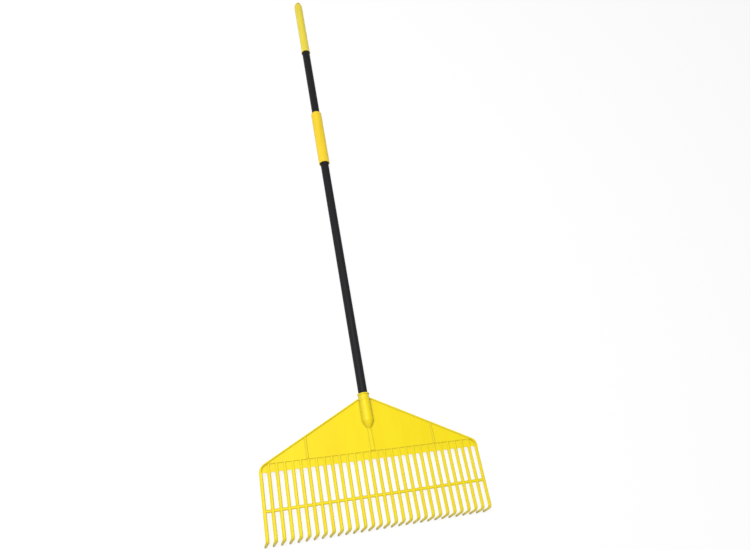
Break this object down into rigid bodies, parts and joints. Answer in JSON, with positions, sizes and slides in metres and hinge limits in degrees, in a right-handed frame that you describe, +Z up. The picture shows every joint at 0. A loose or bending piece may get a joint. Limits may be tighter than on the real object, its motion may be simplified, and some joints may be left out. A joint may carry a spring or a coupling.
{
  "type": "leaf rake",
  "caption": "Wide flat plastic leaf rake head with hooked parallel tines and a cross bar, on a long round tube handle with a middle sleeve grip and an end grip.",
  "frame": {"origin": "on the floor, under the middle of the rake's bounding box, with the rake lying on its hook tips and its end grip", "axes": "+X across the tines, +Y from the hooks towards the end grip, +Z up and out of the upper face of the tines"},
  "size_m": [0.61, 1.8336, 0.0581],
  "materials": {
    "head_plastic": "smooth satin",
    "coated_tube": "satin powder coat",
    "core_plastic": "matte",
    "sleeve_grip": "satin",
    "end_grip": "smooth vinyl",
    "screw_steel": "zinc plated"
  },
  "bodies": {
    "root": {"rake_head": "head_plastic", "handle_tube": "coated_tube", "tube_core": "core_plastic", "tube_end_plug": "core_plastic", "mid_grip": "sleeve_grip", "end_grip": "end_grip", "head_screws": "screw_steel"}
  },
  "joints": []
}
